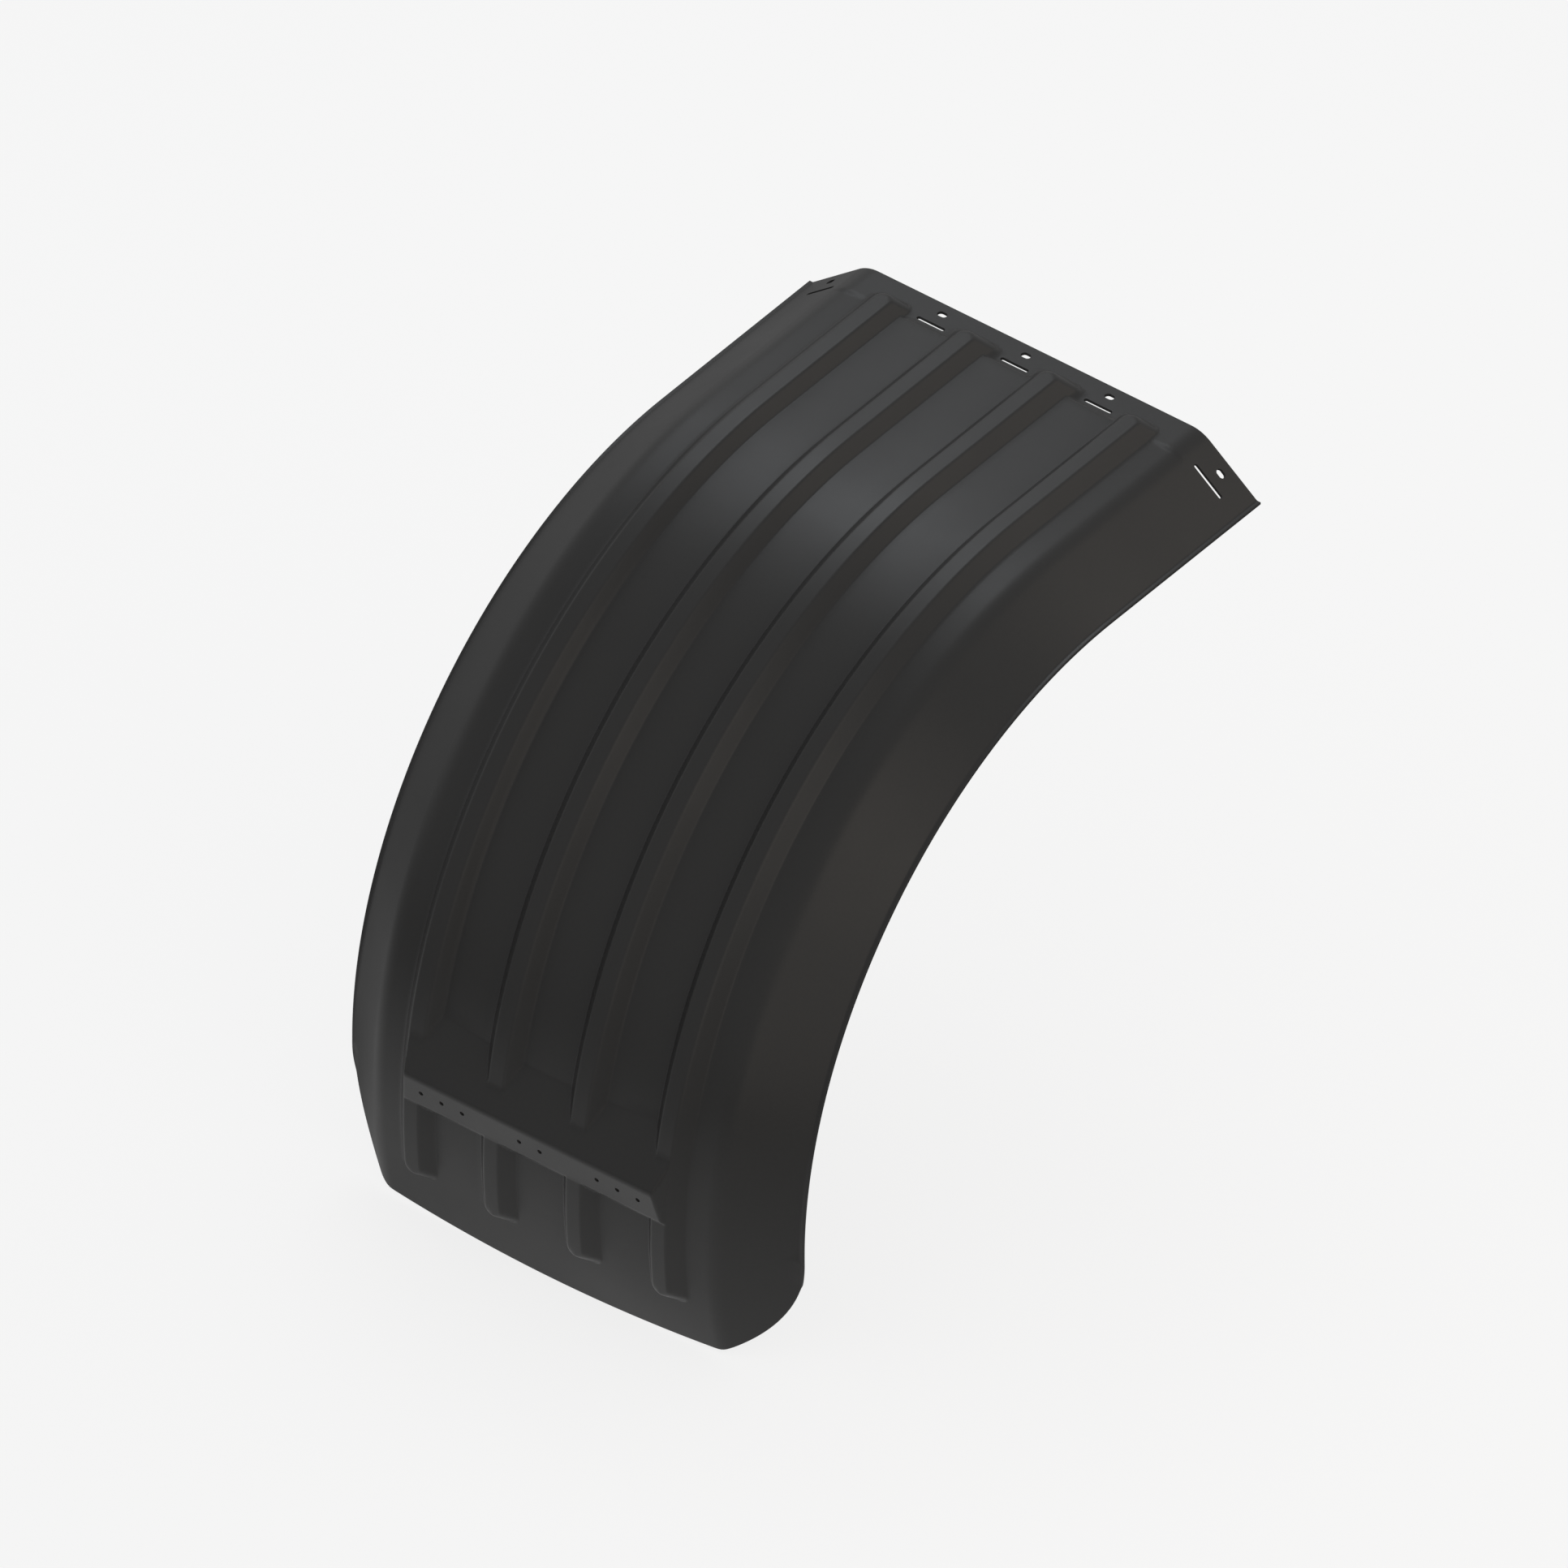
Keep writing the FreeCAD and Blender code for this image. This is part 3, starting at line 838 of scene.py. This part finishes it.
    def lay_out(self, loops: list) -> tuple:
        """Lay out the skin's points, clear of the edges, and the lines that the triangles have to keep.

        Args:
            loops: The outline and then each hole's outline, each with the radius of its rounded edge.

        Returns:
            The points, and the lines as pairs of their numbers.
        """
        grid = np.meshgrid(self.lines_along(), self.lines_across())
        points = np.stack([part.ravel() for part in grid], 1)
        keep = np.ones(len(points), bool)
        given: list = []
        edges: list = []
        for number, (loop, rounding) in enumerate(loops):
            hold = inset(loop, rounding + self.hold * (self.hole_hold_share if number else 1.0))
            within = inside(points, hold)
            keep &= ~within if number else within
            dense = np.concatenate([hold + (np.roll(hold, -1, 0) - hold) * share
                                    for share in (0, 0.25, 0.5, 0.75)])
            for part in np.array_split(dense, max(1, len(dense) // CHUNK)):
                near = np.abs(points[:, None] - part[None]).max(2).min(1)
                keep &= near > self.clear
            for ring in (inset(loop, rounding), hold):
                first, count = len(given), len(ring)
                given += ring.tolist()
                edges += [(first + step, first + (step + 1) % count) for step in range(count)]
        return given + points[keep].tolist(), edges

    def skin(self, loops: list) -> tuple:
        """Join the points into triangles inside the outline and outside the holes.

        Args:
            loops: The outline and the holes, as for lay_out.

        Returns:
            The points, the triangles, and the final number of each point that was laid out.
        """
        given, edges = self.lay_out(loops)
        found = delaunay_2d_cdt([Vector(place) for place in given], edges, [], 0, self.merge)
        flat = np.array([tuple(place) for place in found[0]])
        triangles = np.array([face for face in found[2]])
        number_of = {source: target for target, sources in enumerate(found[3]) for source in sources}
        centres = flat[triangles].mean(1)
        kept = np.ones(len(triangles), bool)
        for number, (loop, rounding) in enumerate(loops):
            within = inside(centres, inset(loop, rounding))
            kept &= ~within if number else within
        triangles = triangles[kept]
        corner = flat[triangles]
        turn = np.cross(corner[:, 1] - corner[:, 0], corner[:, 2] - corner[:, 0])
        triangles[turn < 0] = triangles[turn < 0][:, ::-1]
        return flat, triangles, number_of

    def edge_levels(self, rounding: float) -> list:
        """Section of a rounded edge, from below the outer skin to above the inner one.

        Args:
            rounding: Radius of the edge's rounds.

        Returns:
            How far in and how deep each ring of points lies.
        """
        turns = [math.pi / 2 * step / self.round_steps for step in range(1, self.round_steps + 1)]
        levels = [(rounding * (1 - math.sin(turn)), -rounding * (1 - math.cos(turn))) for turn in turns]
        return levels + [(gap, -self.wall - depth) for gap, depth in reversed(levels)]

    def build(self) -> bpy.types.Mesh:
        """Lay out the points, join them into triangles and close the edges.

        Returns:
            The flat blank, with the outer skin at height zero and the inner skin one wall below.
        """
        tree = PerforationRow.tree()
        loops = [(self.outline(), self.edge_round)]
        loops += [(loop, self.hole_round) for row in self.rows for loop in row.outlines(tree)]
        flat, triangles, number_of = self.skin(loops)
        total = len(flat)
        places = [np.c_[flat, np.zeros(total)], np.c_[flat, np.full(total, -self.wall)]]
        faces = triangles.tolist() + (triangles[:, ::-1] + total).tolist()
        used, first = 2 * total, 0
        for loop, rounding in loops:
            count = len(loop)
            top = [number_of[first + step] for step in range(count)]
            rings = [top]
            for gap, depth in self.edge_levels(rounding):
                places.append(np.c_[inset(loop, gap), np.full(count, depth)])
                rings.append(list(range(used, used + count)))
                used += count
            rings.append([place + total for place in top])
            for upper, lower in zip(rings, rings[1:]):
                faces += [(upper[step], lower[step], lower[(step + 1) % count], upper[(step + 1) % count])
                          for step in range(count)]
            first += 2 * count
        mesh = bpy.data.meshes.new("flat_blank")
        mesh.from_pydata(np.concatenate(places).tolist(), [], faces)
        LOG.info("blank: %d points, %d faces, %d holes", used, len(faces), len(loops) - 1)
        return mesh


@dataclass(frozen=True)
class MouldedPlastic:
    """Black moulded plastic with a satin grain, a speckle and a soft mottle, each a scale and a detail."""

    name: str = "black_moulded_plastic"
    dark: tuple = (0.0150, 0.0148, 0.0146, 1.0)
    light: tuple = (0.0215, 0.0212, 0.0210, 1.0)
    roughness_low: float = 0.33
    roughness_high: float = 0.42
    specular: float = 0.28
    grain: tuple = (1100.0, 2.0)
    grain_depth: float = 0.05 * MM
    speckle: tuple = (275.0, 3.0)
    speckle_share: float = 0.5
    mottle: tuple = (7.0, 6.0)
    mottle_low: float = 0.3
    mottle_high: float = 0.7

    @staticmethod
    def noise(tree: bpy.types.NodeTree, place: bpy.types.NodeSocket, scale: float, detail: float
              ) -> bpy.types.NodeSocket:
        """Add a noise that is fixed to the piece.

        Args:
            tree: The material's nodes.
            place: The place on the piece.
            scale: How fine the noise is.
            detail: How many finer layers it has.

        Returns:
            The noise, from 0 to 1.
        """
        node = tree.nodes.new("ShaderNodeTexNoise")
        node.inputs["Scale"].default_value = scale
        node.inputs["Detail"].default_value = detail
        tree.links.new(place, node.inputs["Vector"])
        return node.outputs["Fac"]

    def build(self) -> bpy.types.Material:
        """Make the material.

        Returns:
            The finished material.
        """
        material = bpy.data.materials.new(self.name)
        material.use_nodes = True
        nodes, links = material.node_tree.nodes, material.node_tree.links
        shader = nodes["Principled BSDF"]
        shader.inputs["Specular IOR Level"].default_value = self.specular
        place = nodes.new("ShaderNodeTexCoord")

        mottle, speckle, grain = (self.noise(material.node_tree, place.outputs["Object"], *sizes)
                                  for sizes in (self.mottle, self.speckle, self.grain))
        spread = nodes.new("ShaderNodeMix")
        spread.inputs[0].default_value = self.speckle_share
        links.new(mottle, spread.inputs[2])
        links.new(speckle, spread.inputs[3])
        colour = nodes.new("ShaderNodeMix")
        colour.data_type = "RGBA"
        colour.inputs[6].default_value = self.dark
        colour.inputs[7].default_value = self.light
        links.new(spread.outputs[0], colour.inputs[0])
        links.new(colour.outputs[2], shader.inputs["Base Color"])
        rough = nodes.new("ShaderNodeMapRange")
        for label, value in (("From Min", self.mottle_low), ("From Max", self.mottle_high),
                             ("To Min", self.roughness_low), ("To Max", self.roughness_high)):
            rough.inputs[label].default_value = value
        links.new(mottle, rough.inputs["Value"])
        links.new(rough.outputs["Result"], shader.inputs["Roughness"])
        bump = nodes.new("ShaderNodeBump")
        bump.inputs["Distance"].default_value = self.grain_depth
        links.new(grain, bump.inputs["Height"])
        links.new(bump.outputs["Normal"], shader.inputs["Normal"])
        return material


@dataclass
class Mudguard:
    """The whole moulding: a flat blank with its slots and holes, formed round the wheel."""

    node: str = "mudguard_shell"
    sizes: GuardSizes = field(default_factory=GuardSizes)
    pad_start_angle: float = math.radians(77.6)
    pad_lip: tuple = (662.0 * MM, math.radians(87.0))
    underside_slope: float = math.radians(48)
    underside_run: float = 10 * MM
    bolt_slot: tuple = (12.5 * MM, 8.5 * MM)
    strap_slot: tuple = (40 * MM, 5 * MM)
    side_strap_length: float = 49 * MM
    slot_pitch: float = 122.4 * MM
    bolt_line: float = -260.5 * MM
    strap_line: float = -239.0 * MM
    side_bolt_place: tuple = (-260.0 * MM, 285.6 * MM)
    side_strap_place: tuple = (-238.5 * MM, 283.9 * MM)
    flap_hole: float = 6 * MM
    flap_pitch: float = 30 * MM
    flap_triple: float = 128.5 * MM
    flap_height: float = 57.1 * MM
    flap_reach: float = 666.07 * MM
    flap_along_share: float = 0.925
    flap_corners: int = 20

    def rule(self) -> SkinRule:
        """Work out the pad's three lines and make the skin's rule.

        Returns:
            The rule.
        """
        lip_x = self.pad_lip[0] * math.sin(self.pad_lip[1])
        lip_z = self.pad_lip[0] * math.cos(self.pad_lip[1])
        heading = self.pad_lip[1] + math.pi / 2 + self.underside_slope
        x = lip_x + self.underside_run * math.sin(heading)
        z = lip_z + self.underside_run * math.cos(heading)
        pad_start = self.sizes.crown_radius, self.pad_start_angle
        pad_edge = self.sizes.pad_edge_radius, self.sizes.pad_edge_angle
        return SkinRule(self.sizes, Line.through(pad_start, pad_edge), Line.through(pad_edge, self.pad_lip),
                        Line.through(self.pad_lip, (math.hypot(x, z), math.atan2(x, z))))

    def rows(self) -> list:
        """List the rows of slots and holes.

        Returns:
            The rows, in the flat blank's measures.
        """
        slope = math.cos(self.sizes.side_angle)
        rows = [PerforationRow(3, self.slot_pitch, *self.bolt_slot, self.bolt_line),
                PerforationRow(3, self.slot_pitch, *self.strap_slot, self.strap_line)]
        side_slots = ((self.bolt_slot[0], self.bolt_slot[1], self.side_bolt_place),
                      (self.side_strap_length, self.strap_slot[1], self.side_strap_place))
        for side in Side:
            rows += [PerforationRow(1, 0.0, length, width, along, side.value * across, across_share=slope)
                     for length, width, (along, across) in side_slots]
        along = self.sizes.crown_radius * math.atan2(self.flap_reach, self.flap_height)
        for count, across in ((3, -self.flap_triple), (2, 0.0), (3, self.flap_triple)):
            rows.append(PerforationRow(count, self.flap_pitch, self.flap_hole, self.flap_hole, along, across,
                                       self.flap_along_share, corners=self.flap_corners))
        return rows

    def build(self, material: bpy.types.Material) -> bpy.types.Object:
        """Make the moulding, hide the CAD part that it replaces and attach it to the root body.

        Args:
            material: Its finish.

        Returns:
            The finished piece.
        """
        blank = bpy.data.objects.new("blank", Blank(self.sizes, rows=self.rows()).build())
        bpy.context.collection.objects.link(blank)
        values = {entry.name: getattr(self.sizes, entry.name) for entry in fields(self.sizes)}
        mesh = apply_tree(blank, self.rule().forming_tree(material), values)
        bpy.data.objects.remove(blank)
        mesh.name = "mudguard_moulding"
        piece = bpy.data.objects.new("mudguard_moulding", mesh)
        bpy.context.collection.objects.link(piece)
        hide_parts(self.node)
        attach(piece, "root")
        LOG.info("%s: %d faces", piece.name, len(mesh.polygons))
        return piece


@dataclass(frozen=True)
class SoftBox:
    """One square lamp with a soft edge."""

    name: str
    heading: tuple
    distance: float
    size: float
    power: float
    colour: tuple = (1.0, 1.0, 1.0)

    def build(self, aim: Vector) -> None:
        """Hang the lamp.

        Args:
            aim: The point that it faces.
        """
        data = bpy.data.lights.new(self.name, "AREA")
        data.size, data.energy, data.color = self.size, self.power, self.colour
        lamp = bpy.data.objects.new(self.name, data)
        heading = Vector(self.heading).normalized()
        lamp.location = aim + heading * self.distance
        lamp.rotation_euler = heading.to_track_quat("Z", "Y").to_euler()
        bpy.context.collection.objects.link(lamp)


@dataclass(frozen=True)
class Patch:
    """A round patch of the floor, and the painted glow that reflections show of the floor inside and outside
    it: a painted pool of light where the inside is lighter, a painted shadow where it is darker.
    """

    middle: tuple
    inner_reach: float
    outer_reach: float
    inner_share: float
    outer_share: float

    def share(self, tree: bpy.types.NodeTree, place: bpy.types.NodeSocket) -> bpy.types.NodeSocket:
        """Add the patch to a material.

        Args:
            tree: The material's nodes.
            place: The place on the floor.

        Returns:
            The painted glow there.
        """
        reach, ramp = tree.nodes.new("ShaderNodeVectorMath"), tree.nodes.new("ShaderNodeMapRange")
        reach.operation = "DISTANCE"
        reach.inputs[1].default_value = self.middle
        tree.links.new(place, reach.inputs[0])
        for label, value in (("From Min", self.inner_reach), ("From Max", self.outer_reach),
                             ("To Min", self.inner_share), ("To Max", self.outer_share)):
            ramp.inputs[label].default_value = value
        tree.links.new(reach.outputs["Value"], ramp.inputs["Value"])
        return ramp.outputs["Result"]


@dataclass
class Studio:
    """Pale floor, soft lamps and the camera.

    Reflections show the floor as a painted glow: a painted pool of light in front of the guard, and a painted
    shadow under and behind it.
    """

    floor_reach: float = 14.0
    floor_colour: tuple = (0.75, 0.75, 0.75, 1)
    floor_roughness: float = 0.9
    floor_specular: float = 0.1
    floor_glow: float = 0.8
    # painted pool of light in front of the guard and painted shadow under and behind it, both seen only in
    # reflections of the floor
    painted_light_patch: Patch = Patch((0.90, -0.05, 0.0), 0.34, 1.35, 0.88, 0.31)
    painted_shadow_patch: Patch = Patch((-0.55, -0.25, 0.0), 1.08, 1.25, 0.10, 1.0)
    world_strength: float = 0.64
    view_right: tuple = (-0.6172, 0.7869, 0.0)
    view_up: tuple = (-0.4934, -0.3870, 0.7790)
    view_middle: tuple = (0.0068, -0.1444, 0.1041)
    view_distance: float = 4.0
    view_width: float = 1.8051
    lamps: tuple = (
        SoftBox("top_softbox", (-0.42, -0.45, 0.78), 3.0, 1.4, 10.2, (0.91, 0.955, 1.0)),
        SoftBox("top_edge", (-0.42, -0.29, 0.84), 3.0, 0.8, 4.2, (0.91, 0.955, 1.0)),
        SoftBox("warm_softbox", (-0.60, 0.60, 0.50), 3.2, 1.8, 8, (1.0, 0.87, 0.74)),
        SoftBox("warm_fill", (0.4, 0.9, 0.6), 3.2, 1.8, 10, (1.0, 0.88, 0.76)),
        SoftBox("front_fill", (0.75, 0.66, 0.05), 3.2, 1.6, 5, (1.0, 0.88, 0.76)),
        SoftBox("side_softbox", (0.20, -0.95, 0.10), 3.2, 1.6, 1, (1.0, 1.0, 1.0)),
    )

    def white(self, name: str) -> bpy.types.Material:
        """Pale matt material that the camera sees as near white, with the guard's shadow kept. In reflections
        it glows instead, with a painted pool of light in front of the guard and a painted shadow under and
        behind it.

        Args:
            name: Its name.

        Returns:
            The material.
        """
        material = bpy.data.materials.new(name)
        material.use_nodes = True
        shader = material.node_tree.nodes["Principled BSDF"]
        shader.inputs["Base Color"].default_value = self.floor_colour
        shader.inputs["Roughness"].default_value = self.floor_roughness
        shader.inputs["Specular IOR Level"].default_value = self.floor_specular
        nodes, links = material.node_tree.nodes, material.node_tree.links
        glow, path = nodes.new("ShaderNodeEmission"), nodes.new("ShaderNodeLightPath")
        place = nodes.new("ShaderNodeTexCoord").outputs["Object"]
        tree = material.node_tree
        seen, mirrored = (Term(tree, path.outputs[label]) for label in ("Is Camera Ray", "Is Glossy Ray"))
        painted_light_share, painted_shadow_share = (Term(tree, patch.share(tree, place)) for patch in (self.painted_light_patch, self.painted_shadow_patch))
        # the floor glows in reflections with a painted pool of light times a painted shadow; camera rays see
        # plain white
        links.new((painted_light_share * painted_shadow_share).most(seen).socket, glow.inputs["Strength"])
        mix = nodes.new("ShaderNodeMixShader")
        links.new((seen * self.floor_glow).most(mirrored).socket, mix.inputs[0])
        links.new(shader.outputs[0], mix.inputs[1])
        links.new(glow.outputs[0], mix.inputs[2])
        links.new(mix.outputs[0], nodes["Material Output"].inputs["Surface"])
        return material

    def floor(self) -> None:
        """Lay a pale floor under the guard."""
        mesh = bpy.data.meshes.new("studio_floor")
        reach, low = self.floor_reach, CAD_BOX[0][2]
        mesh.from_pydata([(-reach, -reach, low), (reach, -reach, low), (reach, reach, low),
                          (-reach, reach, low)], [], [(0, 1, 2, 3)])
        plane = bpy.data.objects.new("studio_floor", mesh)
        bpy.context.collection.objects.link(plane)
        mesh.materials.append(self.white("pale_floor"))

    def world(self) -> None:
        """Light everything evenly from all round."""
        world = bpy.data.worlds.new("studio")
        bpy.context.scene.world = world
        world.use_nodes = True
        nodes, links = world.node_tree.nodes, world.node_tree.links
        back = nodes["Background"]
        back.inputs["Color"].default_value = (1, 1, 1, 1)
        back.inputs["Strength"].default_value = self.world_strength
        seen = nodes.new("ShaderNodeBackground")
        path, mix = nodes.new("ShaderNodeLightPath"), nodes.new("ShaderNodeMixShader")
        links.new(path.outputs["Is Camera Ray"], mix.inputs[0])
        links.new(back.outputs[0], mix.inputs[1])
        links.new(seen.outputs[0], mix.inputs[2])
        links.new(mix.outputs[0], nodes["World Output"].inputs["Surface"])

    def camera(self) -> None:
        """Set the parallel camera."""
        right, up = Vector(self.view_right).normalized(), Vector(self.view_up).normalized()
        back = right.cross(up).normalized()
        up = back.cross(right)
        data = bpy.data.cameras.new("camera")
        data.type, data.ortho_scale = "ORTHO", self.view_width
        camera = bpy.data.objects.new("camera", data)
        turn = Matrix((right, up, back)).transposed().to_4x4()
        camera.matrix_world = Matrix.Translation(Vector(self.view_middle) + back * self.view_distance) @ turn
        bpy.context.collection.objects.link(camera)
        bpy.context.scene.camera = camera

    def build(self) -> None:
        """Build the floor, the world, the lamps and the camera."""
        self.floor()
        self.world()
        middle = (Vector(CAD_BOX[0]) + Vector(CAD_BOX[1])) / 2
        for lamp in self.lamps:
            lamp.build(middle)
            LOG.info("lamp: %s", lamp.name)
        self.camera()


def main() -> None:
    """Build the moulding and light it."""
    logging.basicConfig(level=logging.INFO, format="%(message)s")
    bpy.context.scene.view_settings.view_transform = "Standard"
    plastic = MouldedPlastic().build()
    Mudguard().build(plastic)
    Studio().build()


if __name__ == "__main__":
    main()
